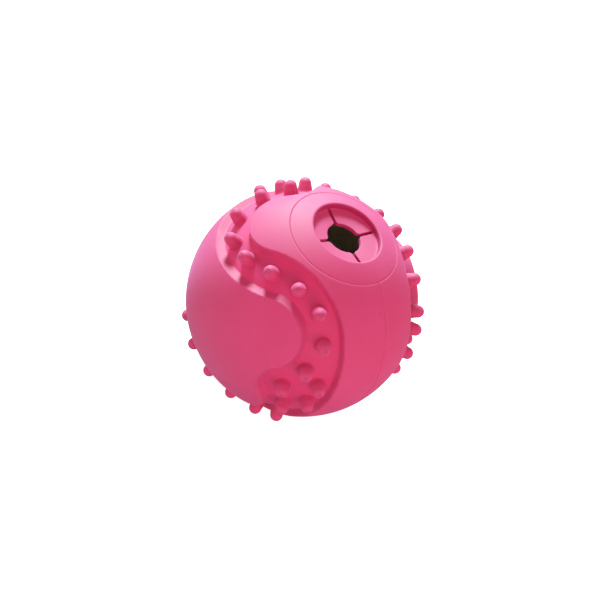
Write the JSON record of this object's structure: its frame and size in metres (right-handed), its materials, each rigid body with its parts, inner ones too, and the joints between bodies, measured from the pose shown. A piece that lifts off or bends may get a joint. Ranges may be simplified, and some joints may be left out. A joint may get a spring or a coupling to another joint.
{
  "type": "treat-dispensing pet ball",
  "caption": "Hollow rubber pet ball with interlocking bone-shaped panels, studded channels, and a treat valve whose springy flaps ring a hole.",
  "frame": {"origin": "centre of the ball", "axes": "+Z out through the treat valve, +X through the waist of the panel that carries the valve at its end, the two halves join on the plane y = 0 and +Y is the left half"},
  "size_m": [0.08, 0.08, 0.0779],
  "materials": {
    "pink_rubber": "satin moulded"
  },
  "bodies": {
    "ball": {"left_half_shell": "pink_rubber", "right_half_shell": "pink_rubber", "valve_ring": "pink_rubber"},
    "front_left_flap": {"front_left_flap": "pink_rubber"},
    "rear_left_flap": {"rear_left_flap": "pink_rubber"},
    "rear_right_flap": {"rear_right_flap": "pink_rubber"},
    "front_right_flap": {"front_right_flap": "pink_rubber"}
  },
  "joints": [
    {"name": "front_left_hinge", "type": "hinge", "parent": "ball", "child": "front_left_flap", "pos_m": [0.00661, 0.00498, 0.0348], "axis": [0.6018, -0.7986, 0], "range_deg": [-20, 50], "stiffness_Nm_per_rad": 0.004},
    {"name": "rear_left_hinge", "type": "hinge", "parent": "ball", "child": "rear_left_flap", "pos_m": [-0.00498, 0.00661, 0.0348], "axis": [0.7986, 0.6018, 0], "range_deg": [-20, 50], "stiffness_Nm_per_rad": 0.004},
    {"name": "rear_right_hinge", "type": "hinge", "parent": "ball", "child": "rear_right_flap", "pos_m": [-0.00661, -0.00498, 0.0348], "axis": [-0.6018, 0.7986, 0], "range_deg": [-20, 50], "stiffness_Nm_per_rad": 0.004},
    {"name": "front_right_hinge", "type": "hinge", "parent": "ball", "child": "front_right_flap", "pos_m": [0.00498, -0.00661, 0.0348], "axis": [-0.7986, -0.6018, 0], "range_deg": [-20, 50], "stiffness_Nm_per_rad": 0.004}
  ]
}
